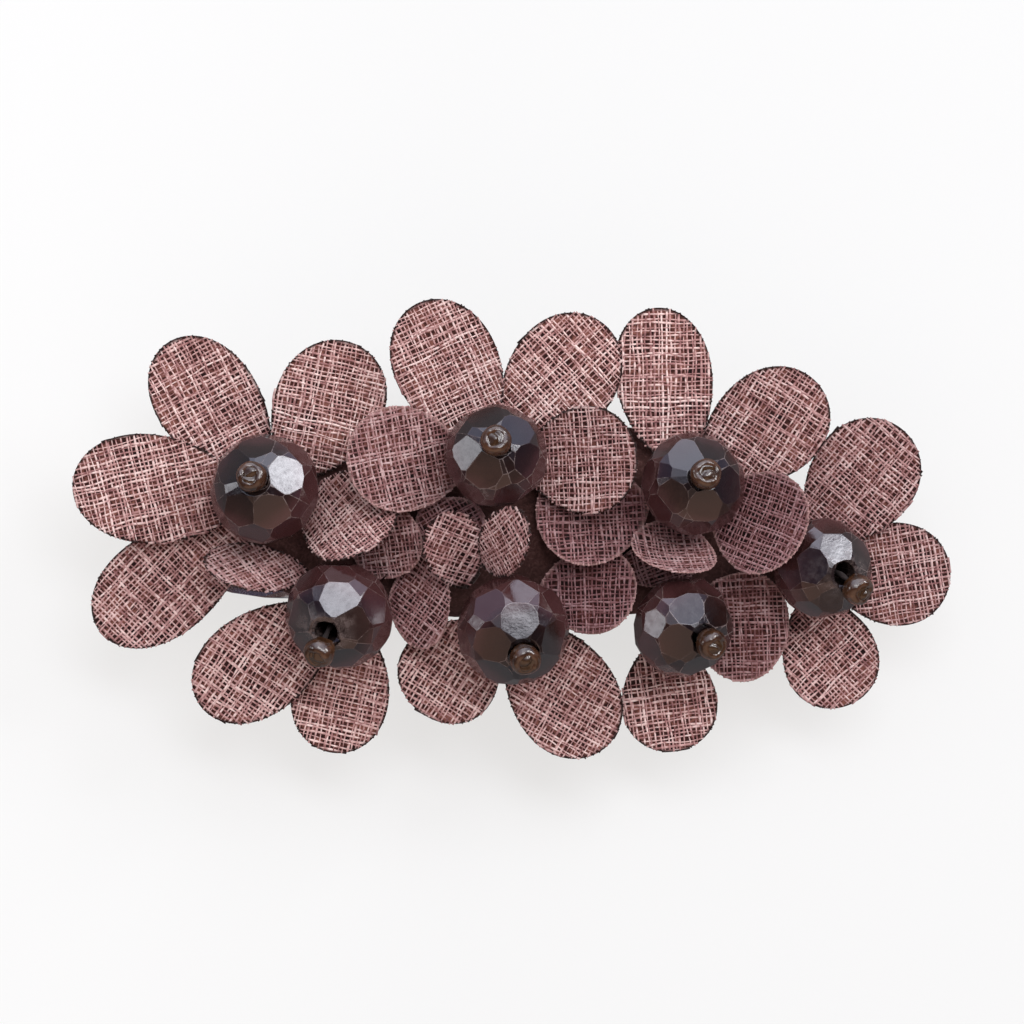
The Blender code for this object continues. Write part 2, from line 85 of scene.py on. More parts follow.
def newMaterial(name):
    # a Principled surface: the material, its tree, its shader and the object's coordinates
    made = bpy.data.materials.new(name)
    made.use_nodes = True
    tree = made.node_tree
    return made, tree, tree.nodes["Principled BSDF"], addNode(tree, "TexCoord").outputs["Object"]


def addObject(name, data):
    obj = bpy.data.objects.new(name, data)
    scene.collection.objects.link(obj)
    return obj


def gridFaces(shape, closed=(), first=0):
    # quads between the points of a grid, which are numbered row by row from first on; closed
    # names the directions, 0 or 1, that go round back to their start
    index = first + np.arange(shape[0] * shape[1]).reshape(shape)
    for axis in closed:
        index = np.concatenate([index, index.take([0], axis)], axis)
    return np.stack([index[:-1, :-1], index[1:, :-1], index[1:, 1:], index[:-1, 1:]], -1).reshape(-1, 4)


def newMesh(name, points, quads, uvs=None, values=None):
    # points (n, 3) in mm, quads (m, 4), uvs (m, 4, 2) in mm, values by attribute name, each (n,)
    mesh = bpy.data.meshes.new(name)
    mesh.vertices.add(len(points))
    mesh.vertices.foreach_set("co", (points * mm).astype(np.float32).ravel())
    mesh.loops.add(quads.size)
    mesh.loops.foreach_set("vertex_index", quads.astype(np.int32).ravel())
    mesh.polygons.add(len(quads))
    mesh.polygons.foreach_set("loop_start", np.arange(0, quads.size, 4, dtype=np.int32))
    mesh.update(calc_edges=True)
    if uvs is not None:
        layer = mesh.uv_layers.new(name="thread")
        layer.data.foreach_set("uv", uvs.astype(np.float32).ravel())
    for key, value in (values or {}).items():
        layer = mesh.attributes.new(key, "FLOAT", "POINT")
        layer.data.foreach_set("value", value.astype(np.float32))
    mesh.validate()
    mesh.shade_smooth()
    return addObject(name, mesh)


def finishPiece(obj, material, replaced):
    # gives a new piece its material and its body, and hides the CAD node that it stands for
    obj.data.materials.clear()
    obj.data.materials.append(material)
    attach(obj, "clip")
    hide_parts(replaced)


def joined(obj):
    # closes seams and poles, then turns the faces outwards
    bm = bmesh.new()
    bm.from_mesh(obj.data)
    bmesh.ops.remove_doubles(bm, verts=bm.verts[:], dist=sameSpot)
    bmesh.ops.recalc_face_normals(bm, faces=bm.faces[:])
    bm.to_mesh(obj.data)
    bm.free()
    return obj


# Camera: straight above the flowers, as in the photograph
view = {
    "centre": (-0.13, 1.66),  # mm, what the middle of the picture looks at
    "flowerPlane": 13.0,      # mm, height of the petals that set the scale
    "across": 93.09,          # mm, width of the picture at that height
    "distance": 390.0,        # mm from that height up to the camera
    "sensor": 36.0,           # mm
    "inSight": (0.01, 20.0),  # metres, the nearest and the farthest that it shows
}
camera = addObject("camera", bpy.data.cameras.new("camera"))
camera.location = [value * mm for value in (*view["centre"], view["flowerPlane"] + view["distance"])]
camera.data.sensor_width = view["sensor"]
camera.data.lens = view["sensor"] * view["distance"] / view["across"]
camera.data.clip_start, camera.data.clip_end = view["inSight"]
scene.camera = camera
scene.view_settings.view_transform = "Standard"
print("camera placed")

# Floor, lamps and room
studio = {
    "floorHalf": 2500.0,          # mm from the middle of the floor to its sides
    "floorDrop": 0.02,            # mm from the clip down to the floor
    "floorGlow": (0.674, 0.680),  # what the camera sees on top of the lit part, near and far
    "glowRun": (-0.04, 0.05),     # metres along y over which it goes from near to far
    "floorLeft": 0.033,           # added to the glow on the left
    "leftRun": (-0.045, -0.005),  # metres along x over which that fades out
    "glowColour": "#fffefc",      # warm, as the shadow is, which lacks the cooler lit part
    "floorInGloss": 0.12,         # share of the glow that glass and metal see
    "floorSeen": "#7f8185",       # the board as it is seen, dim, so that the shadow stays faint
    "sky": 0.45,                  # level of the pale room
    "skyInGloss": 3.6,            # level of the brightest part of the room as glass and metal show it
    "sideways": -0.8,             # how much of the window's light is gone straight to its sides
    "distance": 0.7,              # metres from the clip to each lamp
    # lamp: direction it stands in and its angle from straight up (degrees), width and height as
    # angles seen from the clip, brightness of its face, and its colour
    "lamps": {
        "ceilingScrim": ((90, 34), (80, 50), 0.77, "#ffffff"),
        "windowPanel": ((66, 26), (40, 16), 6.5, "#ffffff"),
        "panelRight": ((34, 58), (22, 14), 14.0, "#ffffff"),
        "panelLeft": ((172, 67), (14, 14), 4.5, "#ffffff"),
        "warmFill": ((266, 50), (76, 48), 0.40, "#ffc4a2"),
    },
}


def seenBy(tree):
    # 1 for what the camera sees, and 1 for what is seen in or through glass and metal
    ray = addNode(tree, "LightPath").outputs
    return ray["Is Camera Ray"], addNode(
        tree, "Math", {0: ray["Is Glossy Ray"], 1: ray["Is Transmission Ray"]}, operation="MAXIMUM")


def buildFloor():
    # a level sheet of eight by eight faces just under the clip
    half = studio["floorHalf"]
    side = np.linspace(-half, half, 9)
    x, y = np.meshgrid(side, side, indexing="ij")
    points = np.stack([x, y, np.full_like(x, -studio["floorDrop"])], -1)
    obj = newMesh("floor", points.reshape(-1, 3), gridFaces(x.shape))
    # Painted board, matt: even and pale, with a faint grain that keeps it from looking empty
    made, tree, shader, place = newMaterial("mattPaintedBoard")
    grain = addNode(tree, "TexNoise", {"Vector": place, "Scale": 900.0, "Detail": 3.0})
    board = addNode(tree, "Mix", {0: grain, 6: "#eeedec", 7: "#f1f0ef"}, data_type="RGBA")
    direct, mirrored = seenBy(tree)
    seen = addNode(tree, "Math", {0: direct, 1: mirrored}, operation="MAXIMUM")
    colour = addNode(tree, "Mix", {0: seen, 6: board.outputs[2], 7: studio["floorSeen"]},
                     data_type="RGBA")
    # the glow rises from near to far and towards the left, and glass and metal see a share of it
    run = addNode(tree, "SeparateXYZ", {0: place}).outputs
    (nearY, farY), (near, far) = studio["glowRun"], studio["floorGlow"]
    fullX, goneX = studio["leftRun"]
    depth = addNode(tree, "MapRange", {0: run["Y"], 1: nearY, 2: farY, 3: near, 4: far})
    left = addNode(tree, "MapRange", {0: run["X"], 1: fullX, 2: goneX, 3: studio["floorLeft"], 4: 0.0})
    level = addNode(tree, "Math", {0: depth, 1: left}, operation="ADD")
    dimmed = addNode(tree, "Math", {0: mirrored, 1: studio["floorInGloss"]}, operation="MULTIPLY")
    share = addNode(tree, "Math", {0: direct, 1: dimmed}, operation="MAXIMUM")
    glow = addNode(tree, "Math", {0: share, 1: level}, operation="MULTIPLY")
    setInputs(tree, shader, {
        "Roughness": 0.9, "Specular IOR Level": 0.1, "Base Color": colour.outputs[2],
        "Emission Color": studio["glowColour"], "Emission Strength": glow})
    # seen from underneath the board isn't there, so that the barrette shows
    under = addNode(tree, "MixShader", {0: addNode(tree, "NewGeometry").outputs["Backfacing"],
                                        1: shader, 2: addNode(tree, "BsdfTransparent")})
    setInputs(tree, tree.nodes["Material Output"], {"Surface": under})
    obj.data.materials.append(made)


def buildLight():
    # Each lamp stands on a sphere round the clip and faces it. Its sides are twice the distance
    # times the tangent of half their angles, and its power is its brightness times pi times its area.
    away = studio["distance"]
    for name, (standing, angles, brightness, colour) in studio["lamps"].items():
        lamp = addObject(name, bpy.data.lights.new(name, "AREA"))
        a, b = (math.radians(angle) for angle in standing)
        toLamp = Vector((math.cos(a) * math.sin(b), math.sin(a) * math.sin(b), math.cos(b)))
        width, height = (2 * away * math.tan(math.radians(angle / 2)) for angle in angles)
        lamp.data.shape = "RECTANGLE"
        lamp.data.size, lamp.data.size_y = width, height
        lamp.data.energy = brightness * math.pi * width * height
        lamp.data.color = fromHex(colour)[:3]
        lamp.location = toLamp * away
        lamp.rotation_euler = (-toLamp).to_track_quat("-Z", "Y").to_euler()
    world = bpy.data.worlds.new("paleRoom")
    scene.world = world
    world.use_nodes = True
    tree = world.node_tree
    direct, mirrored = seenBy(tree)
    # glass and metal show a room that is warm and dim on the near side, darkest overhead where the
    # camera stands and to both sides, and cool and bright towards the window on the far side
    way = addNode(tree, "SeparateXYZ", {0: addNode(tree, "TexCoord").outputs["Generated"]}).outputs
    sideways = addNode(tree, "Math", {0: way["X"]}, operation="ABSOLUTE")
    narrowed = addNode(tree, "Math", {0: sideways, 1: studio["sideways"], 2: 1.0},
                       operation="MULTIPLY_ADD")
    ahead = addNode(tree, "Math", {0: narrowed, 1: way["Y"]}, operation="MULTIPLY")
    share = addNode(tree, "MapRange", {0: ahead, 1: -1.0, 2: 1.0})
    room = addNode(tree, "ValToRGB", {0: share}, [
        (0.0, "#6f625b"), (0.30, "#655750"), (0.46, "#2a2023"), (0.58, "#42455a"), (0.70, "#8c90a4"),
        (0.84, "#d0d5e8"), (0.95, "#eef0fc"), (1.0, "#d4d8e8")])
    colour = addNode(tree, "Mix", {0: mirrored, 6: "#fbfbfc", 7: room}, data_type="RGBA")
    lit = addNode(tree, "Mix", {0: mirrored, 2: studio["sky"], 3: studio["skyInGloss"]})
    level = addNode(tree, "Mix", {0: direct, 2: lit, 3: 1.0})
    setInputs(tree, tree.nodes["Background"], {"Color": colour.outputs[2], "Strength": level})


buildFloor()
buildLight()
print("floor and light ready")

# Where the flowers stand, as the CAD has them, in mm
clipShape = {
    "centring": (-0.17, 0.34),  # moves the finished clip onto the middle of its box
    "padCrown": 12.5,           # height of the pad's top at its middle
    "padFall": (176.0, 29.0),   # it falls by the square of the way from there over these, x and y
    "padSide": 0.5,             # y of its straight part
    "padBend": 2.6,             # how far it has curved towards -y at its end
    "bendFrom": 14.0,           # x where the curve starts, and its run
    "barCrown": 8.64,           # height of the bar's top at its middle
    "barRadius": 70.0,
    "barArch": 20.0,            # half the arched length, past which it levels out
    "barLevel": 4.0,            # over this run
    "footLift": 0.05,           # room between the pad and a flower's foot
    "beadGap": 0.9,             # room under a bead for the petal roots
    "beadSquash": 0.88,         # height of a bead over its width
}
# bead centre x and y, bead diameter, lean direction and lean angle, slip of the seed bead
flowerRow = namedtuple("flowerRow", "x y size direction angle slip")
flowers = {name: flowerRow(*row) for name, row in {
    "f1": (-22.3, 3.4, 10.2, 130, 15, (0.0, 0.0)),
    "f2": (-1.4, 6.35, 9.5, 89, 15, (0.0, 0.0)),
    "f3": (16.4, 3.85, 9.6, 43, 14, (0.0, 0.0)),
    "f4": (-15.6, -8.0, 10.0, 234, 26, (-0.35, -1.35)),
    "f5": (0.15, -9.35, 10.4, -67, 30, (0.0, 0.0)),
    "f6": (15.6, -9.1, 9.4, -30, 30, (0.2, -0.2)),
    "f7": (28.3, -3.8, 9.3, -15, 27, (0.8, -1.1)),
}.items()}
# Number of the flower and direction, then tip, width, root distance, root lift, bow, direction of the weave
# in the world, painted shade from 0 to 1, deep on the inner petals that lie in the beads' shade, and, where
# they differ from the usual, roll at root and tip, cup, and root direction
petalRow = namedtuple("petalRow", "flower tip width root lift bow weave dye roll cup rootDirection",
                      defaults=((0, 0), 0.03, None))
petals = {f"petal_{key}": petalRow("f" + key[0], *row) for key, row in {
    "1_west": ((-40.0, 4.0, 12.2), 10.0, 2.4, 1.0, 0.0, 14, 0.16),
    "1_northwest": ((-31.4, 16.7, 12.2), 9.4, 2.4, 0.6, -0.3, 28, 0.08),
    "1_northeast": ((-13.8, 16.4, 13.0), 10.0, 2.4, 0.5, 0.0, 77, 0.0),
    "1_southeast": ((-10.8, -0.3, 16.4), 9.2, 2.4, 0.6, 0.5, 46, 0.36, (0, -32), 0.05),
    "1_southwest": ((-37.8, -9.6, 9.6), 9.6, 3.6, 0.3, 0.0, 46, 0.2),
    "2_northwest": ((-8.5, 20.2, 15.1), 9.6, 2.4, 0.75, 0.0, 25, 0.14),
    "2_northeast": ((8.1, 18.6, 13.8), 10.0, 2.5, 0.3, 0.0, 43, 0.0),
    "2_east": ((11.3, 6.4, 17.2), 9.8, 2.4, 0.9, 0.0, 3, 0.42),
    "2_west": ((-14.8, 6.5, 17.4), 9.6, 2.6, 0.95, 0.2, 12, 0.68, (0, 4)),
    "2_south": ((-6.8, -2.6, 12.8), 7.2, 3.6, 0.4, 0.0, 30, 0.9),
    "3_north": ((12.9, 19.9, 12.2), 8.9, 2.4, 0.35, 0.0, 1, 0.0),
    "3_northeast": ((28.0, 12.8, 13.2), 9.8, 2.4, 0.9, 0.0, 57, 0.32),
    "3_southeast": ((26.2, -1.1, 17.8), 9.6, 2.7, 0.75, -0.3, 67, 0.98, (6, -5), 0.05),
    "3_south": ((14.3, -4.0, 17.6), 8.0, 2.4, 0.65, -0.8, 5, 0.8, (-6, 0), 0.07),
    "3_west": ((2.4, -0.1, 13.6), 9.6, 3.2, 0.5, 0.2, 2, 0.9, (10, 18)),
    "4_northwest": ((-27.9, -3.3, 13.9), 5.8, 4.4, 1.4, 0.0, 27, 0.5, (35, 50), 0.03, 150),
    "4_southwest": ((-28.6, -16.4, 9.6), 9.4, 2.4, 1.0, 0.0, 55, 0.08),
    "4_south": ((-16.6, -20.8, 8.6), 9.0, 2.4, 0.3, 0.0, 77, 0.0),
    "4_east": ((-5.6, -7.0, 13.4), 8.6, 3.2, 0.5, 0.0, 55, 0.8),
    "4_northeast": ((-9.8, 1.6, 13.8), 7.6, 2.4, 0.6, 0.0, 11, 0.7, (-10, -22)),
    "5_southwest": ((-8.4, -17.0, 10.2), 9.4, 2.4, 0.65, 0.0, 57, 0.1),
    "5_southeast": ((8.2, -20.6, 9.6), 9.7, 2.4, 0.45, 0.0, 60, 0.25),
    "5_east": ((11.3, -5.1, 14.4), 8.0, 3.0, 1.1, -0.2, 2, 1.0, (10, -18)),
    "5_northeast": ((1.3, 1.0, 20.5), 5.4, 4.9, 1.5, 0.9, 42, 0.55, (-22, -25), 0.03, 116),
    "5_northwest": ((-6.2, 1.2, 17.2), 5.6, 4.0, 0.85, 0.2, 62, 0.55, (12, 10), 0.03, 150),
    "6_south": ((15.1, -20.7, 8.5), 8.8, 2.4, 0.35, 0.0, 8, 0.2),
    "6_east": ((25.3, -9.8, 10.7), 10.2, 2.4, 0.75, 0.2, 2, 0.8, (18, 0)),
    "6_north": ((13.4, -1.2, 12.6), 8.4, 2.6, 0.95, 0.1, 20, 1.0, (0, 0), 0.03, 85),
    "7_northeast": ((35.6, 9.0, 10.6), 9.8, 2.4, 0.75, 0.0, 50, 0.45),
    "7_east": ((40.3, -5.0, 8.8), 9.5, 2.4, 0.6, 0.0, 10, 0.5),
    "7_south": ((31.0, -16.5, 7.8), 8.8, 3.4, 0.3, 0.0, 44, 0.34),
}.items()}


def padMiddle(x):
    # the pad's centre line: straight, then curving towards -y as a parabola
    start = run = clipShape["bendFrom"]
    return clipShape["padSide"] - clipShape["padBend"] * np.clip((x - start) / run, 0.0, 1.0) ** 2


def padTop(x, y):
    # two crossed parabolas under the crown
    fallX, fallY = clipShape["padFall"]
    return clipShape["padCrown"] - x * x / fallX - (y - padMiddle(x)) ** 2 / fallY


def barTop(x):
    # an arch, the crown less x squared over twice the radius, and past it a parabola that goes on
    # from its slope to level
    half, radius, run = (clipShape[key] for key in ("barArch", "barRadius", "barLevel"))
    arched = np.minimum(np.abs(x), half)
    past = np.clip(np.abs(x) - half, 0.0, run)
    fallen = (half / radius) * (past - past ** 2 / (2 * run))
    return clipShape["barCrown"] - arched ** 2 / (2 * radius) - fallen


def flowerFrame(flower):
    # the foot on the pad, the turn that leans the flower, its axis, and the bead's height on it
    row = flowers[flower]
    a = math.radians(row.direction)
    turn = Matrix.Rotation(math.radians(row.angle), 3, Vector((-math.sin(a), math.cos(a), 0.0)))
    normal = turn @ Vector((0, 0, 1))
    height = clipShape["beadGap"] + row.size / 2 * clipShape["beadSquash"]
    foot = Vector((row.x, row.y, 0)) - normal * height
    foot.z = float(padTop(foot.x, foot.y)) + clipShape["footLift"]
    return foot, turn, normal, height


def centred(points):
    return points + np.array([*clipShape["centring"], 0.0])


# Linen petals. A pair of numbers for a random draw is its least value and what the draw adds.
linen = {
    "pitch": 0.38,               # mm between threads, both ways
    "threadWidth": 0.155,
    "threadThickness": 0.12,
    "weaveHeight": 0.024,        # how far a thread's middle rides above or below the cloth's
    "groundThickness": 0.03,     # the dried size that fills the gaps
    "eggPower": 1.3,             # how much fuller the outline is towards the tip
    "samplesPerPitch": 3,
    "spacingWander": 0.14,       # share of the pitch
    "sideWander": 0.12,          # mm, at most, in waves of these lengths in mm
    "sidePeriods": (3.0, 9.0),
    "swell": 0.35,               # share of the width, likewise
    "swellPeriods": (1.2, 4.0),
    "widthLimits": (0.5, 1.6),
    "fineness": (0.70, 0.60),    # a thread's own width
    "flattening": (0.9, 0.2),    # thickness where there is no swell, and what a doubled swell adds
    "thicknessLimits": (0.85, 1.15),
    "slubsPerThread": 1.3,
    "slubTries": 2,
    "slubSwell": (0.25, 0.35),
    "slubRun": (0.5, 1.1),       # mm to either side
    "tone": 0.48,                # middle tone, then what varies it: by thread, by swell, along it,
    "toneByThread": 0.15,        # in waves of these lengths in mm, and where it passes over
    "toneBySwell": 0.25,
    "toneAlong": 0.36,
    "tonePeriods": (0.6, 2.4),
    # painted light and shade: a thread is paler where it passes over and darker where it passes under
    "overUnderLight": 0.13,
    "endSpread": (-0.06, 0.05),  # mm, how far outside or inside the cut the threads end
    "rim": 0.26,                 # mm, width of the band at the cut that is darkened or carries a painted highlight
    "rimFade": 1.7,              # how steeply the band fades at its inner edge
    "highlightFrom": 0.56,          # depth of painted shade from which a petal's edge carries a painted highlight instead of being darkened
    "edgeHighlight": 0.5,               # how strong that painted highlight is, where the darkening is -1
    "darkEndShare": 0.5,          # share of the threads whose ends are as dark as the size between
    "otherEnds": 0.2,            # how dark the rest are
    "shadeTint": "#aa979f",        # what the deepest painted shade multiplies the yarn's colour by
    "rootShade": 0.30,             # how much deeper the painted shade is at the root, where the bead shades the petal
    "rootShare": 0.45,           # share of the length over which that fades
    "blank": 10.0,               # mm, sides of the piece that a small petal is cut from
}


def paintedShadeAndEdge(tree, colour):
    # the yarn's colour, darkened by painted shade, and at the cut edge darkened or given a painted highlight
    dye, edge = (addNode(tree, "Attribute", attribute_name=name).outputs["Fac"] for name in ("dye", "edge"))
    # painted shade: the yarn's colour multiplied towards the shade tint, most on the inner petals and near
    # the beads
    shaded = addNode(tree, "Mix", {0: dye, 6: colour, 7: linen["shadeTint"]}, data_type="RGBA",
                   blend_type="MULTIPLY")
    dark = addNode(tree, "MapRange", {0: edge, 1: 0.0, 2: -1.0})
    pale = addNode(tree, "MapRange", {0: edge, 1: 0.0, 2: 1.0})
    darkened = addNode(tree, "Mix", {0: dark, 6: shaded.outputs[2], 7: "#1f0f0d"}, data_type="RGBA")
    # painted highlight: the pale colour along the raised cut edges of the shaded inner petals
    edgeHighlight = addNode(tree, "Mix", {0: pale, 6: darkened.outputs[2], 7: "#c09a98"}, data_type="RGBA")
    return edgeHighlight.outputs[2]


def linenThreadMaterial():
    # Linen yarn, piece-dyed dusty mauve and woven: matt strands, some pale and thick where the flax is
    # slubby and some darker, with a soft sheen along their tops. Its colour also carries painted light,
    # paler where a thread passes over and darker where it passes under, and painted shade on the inner
    # petals and towards the beads
    made, tree, shader, place = newMaterial("dyedLinenYarn")
    tone = addNode(tree, "Attribute", attribute_name="tone").outputs["Fac"]
    blotch = addNode(tree, "TexNoise", {"Vector": place, "Scale": 700.0, "Detail": 3.0, "Roughness": 0.6})
    part = addNode(tree, "Math", {0: blotch, 1: 0.40}, operation="MULTIPLY")
    mixed = addNode(tree, "Math", {0: tone, 1: 0.62, 2: part}, operation="MULTIPLY_ADD")
    colour = addNode(tree, "ValToRGB", {0: mixed}, [
        (0.10, "#72484a"), (0.34, "#a07271"), (0.54, "#c9a09e"), (0.76, "#eccfcc"), (1.0, "#fbe7e4")])
    # two-ply twist: slanted fibre lines 0.09 mm apart round each thread
    twist = addNode(tree, "TexWave", {"Vector": addNode(tree, "TexCoord").outputs["UV"], "Scale": 3.4,
                                      "Distortion": 2.0, "Detail": 2.0},
                    wave_type="BANDS", bands_direction="DIAGONAL")
    bump = addNode(tree, "Bump", {"Height": twist.outputs["Fac"], "Strength": 0.35, "Distance": 0.00003})
    setInputs(tree, shader, {
        "Base Color": paintedShadeAndEdge(tree, colour.outputs[0]), "Normal": bump, "Roughness": 0.82, "IOR": 1.53,
        "Specular IOR Level": 0.28, "Sheen Weight": 0.22, "Sheen Roughness": 0.4, "Sheen Tint": "#ecd6d4"})
    return made


def linenGroundShadeMaterial():
    # Dried size between the threads: a thin matt skin, coloured dark as painted shade in the open gaps of
    # the weave, and paler brown where lint and loose fibre fill them
    made, tree, shader, place = newMaterial("sizedLinenGroundShade")
    gap = addNode(tree, "TexNoise", {"Vector": place, "Scale": 2100.0, "Detail": 1.0})
    cloud = addNode(tree, "TexNoise", {"Vector": place, "Scale": 330.0, "Detail": 2.0})
    part = addNode(tree, "Math", {0: gap, 1: 0.55}, operation="MULTIPLY")
    both = addNode(tree, "Math", {0: cloud, 1: 0.45, 2: part}, operation="MULTIPLY_ADD")
    # painted shade: the dark colours stand for the shade down in the gaps of the weave
    colour = addNode(tree, "ValToRGB", {0: both}, [(0.36, "#1b0a0a"), (0.5, "#42231f"), (0.62, "#7d5048")])
    setInputs(tree, shader, {"Base Color": paintedShadeAndEdge(tree, colour.outputs[0]), "Roughness": 0.8,
                             "IOR": 1.5, "Specular IOR Level": 0.15})
    return made


def placePetal(row):
    # the petal's start, its axes (along, side, up) as rows, and its length
    foot, turn, normal, height = flowerFrame(row.flower)
    tip = Vector(row.tip)
    a = math.atan2(tip.y - foot.y, tip.x - foot.x)
    if row.rootDirection is not None:
        a = math.radians(row.rootDirection)
    start = foot + turn @ Vector((row.root * math.cos(a), row.root * math.sin(a), row.lift))
    along = (tip - start).normalized()
    side = Vector((-along.y, along.x, 0)).normalized()
    return np.array(start), np.array([along, side, along.cross(side)]), (tip - start).length


def petalPoint(row, place, x, y, lift):
    # x mm along a line from root to tip with a parabola's bow, y mm across on an arc of radius
    # 1 / cup turned by the roll, and lift mm out along the cloth's own normal
    start, axes, length = place
    nudge = 0.01

    def middle(x, y):
        t = x / length
        r = np.radians(row.roll[0] + (row.roll[1] - row.roll[0]) * t)
        flat, rise = np.sin(y * row.cup) / row.cup, (1 - np.cos(y * row.cup)) / row.cup
        local = np.stack([x, flat * np.cos(r) - rise * np.sin(r),
                          flat * np.sin(r) + rise * np.cos(r) + 4 * row.bow * t * (1 - t)], -1)
        return start + local @ axes

    point = middle(x, y)
    normal = np.cross(middle(x + nudge, y) - point, middle(x, y + nudge) - point)
    normal /= np.linalg.norm(normal, axis=-1, keepdims=True)
    return centred(point + normal * np.asarray(lift)[..., None])


def eggShare(x, length):
    # from -1 at the root to 1 at the tip, as the egg's power of the share of the length
    return 2 * np.clip(x / length, 0.0, 1.0) ** linen["eggPower"] - 1


def halfWidth(x, length, width):
    # egg outline: a circle in the egg's share
    return width / 2 * np.sqrt(np.maximum(1 - eggShare(x, length) ** 2, 0.0))


def cutEnds(length, width, offsets, along, across):
    # Where each straight thread enters and leaves the outline: marks are set along it, and the gap
    # between the last mark inside and the next is halved. A thread with too few marks is left out.
    marks, fewest, halvings = 240, 5, 14
    reach = math.hypot(length, width) / 2 + 0.5
    s = np.linspace(-reach, reach, marks)

    def inside(o, s):
        x = length / 2 + o * across[0] + s * along[0]
        y = o * across[1] + s * along[1]
        return (x > 0) & (x < length) & (np.abs(y) < halfWidth(x, length, width))

    hit = inside(offsets[:, None], s[None, :])
    kept = hit.sum(1) > fewest
    offsets, hit = offsets[kept], hit[kept]
    first, last = hit.argmax(1), marks - 1 - hit[:, ::-1].argmax(1)
    ends = []
    for low, step in ((s[first], s[0] - s[1]), (s[last], s[1] - s[0])):
        high = low + step
        for _ in range(halvings):
            half = (low + high) / 2
            good = inside(offsets, half)
            low, high = np.where(good, half, low), np.where(good, high, half)
        ends.append(low)
    return kept, *ends


def nearCut(row, length, x, y):
    # how near a point of the flat cloth is to the cut, from 0 inside the rim to 1 on the outline, negative
    # where the edge is darkened and positive where it carries a painted highlight
    out = np.sqrt(eggShare(x, length) ** 2 + (2 * y / row.width) ** 2)
    fade = linen["rimFade"]
    near = np.clip(fade - fade * (1 - out) * row.width / 2 / linen["rim"], 0.0, 1.0)
    return near * (linen["edgeHighlight"] if row.dye > linen["highlightFrom"] else -1.0)


def paintedShadeAt(row, length, x):
    # the petal's painted shade, deeper towards the root, where the bead shades it, as a parabola
    near = np.clip(1 - x / (linen["rootShare"] * length), 0.0, 1.0)
    return np.clip(row.dye + linen["rootShade"] * near ** 2, 0.0, 1.0)


def drawn(rng, pair, shape):
    # random numbers from the pair's first value to that plus its second
    return pair[0] + pair[1] * rng.random(shape)


def slowWave(rng, s, periods, size):
    # the mean of three sines along each thread, with random phases and periods, in mm
    phase = rng.random((3, len(s), 1)) * 2 * math.pi
    period = drawn(rng, (periods[0], periods[1] - periods[0]), (3, len(s), 1))
    return size * np.sin(2 * math.pi * s / period + phase).mean(0)


def tubeFaces(s):
    # quads round tubes with six sides, where their stations s lie apart, and two flat quads on each
    # end; the uvs are mm along the tube and the share of the way round
    threads, stations = s.shape
    index = np.arange(s.size * 6).reshape(threads, stations, 6)
    after = np.roll(index, -1, axis=2)
    live = (s[:, 1:] - s[:, :-1]) > 1e-6
    quads = np.stack([index[:, :-1], after[:, :-1], after[:, 1:], index[:, 1:]], -1)[live]
    run = np.broadcast_to(s[..., None], index.shape)
    turn = np.broadcast_to(np.arange(6), index.shape) / 6
    corners = ((run[:, :-1], turn[:, :-1]), (run[:, :-1], turn[:, :-1] + 1 / 6),
               (run[:, 1:], turn[:, 1:] + 1 / 6), (run[:, 1:], turn[:, 1:]))
    uvs = np.stack([np.stack(corner, -1) for corner in corners], -2)[live]
    rows = np.arange(threads)
    first = index[rows, live.argmax(1)]
    last = index[rows, stations - 1 - live[:, ::-1].argmax(1)]
    caps = np.concatenate([first[:, [3, 2, 1, 0]], first[:, [5, 4, 3, 0]],
                           last[:, [0, 1, 2, 3]], last[:, [0, 3, 4, 5]]])
    return (np.concatenate([quads.reshape(-1, 4), caps]),
            np.concatenate([uvs.reshape(-1, 4, 2), np.zeros((len(caps), 4, 2))]))


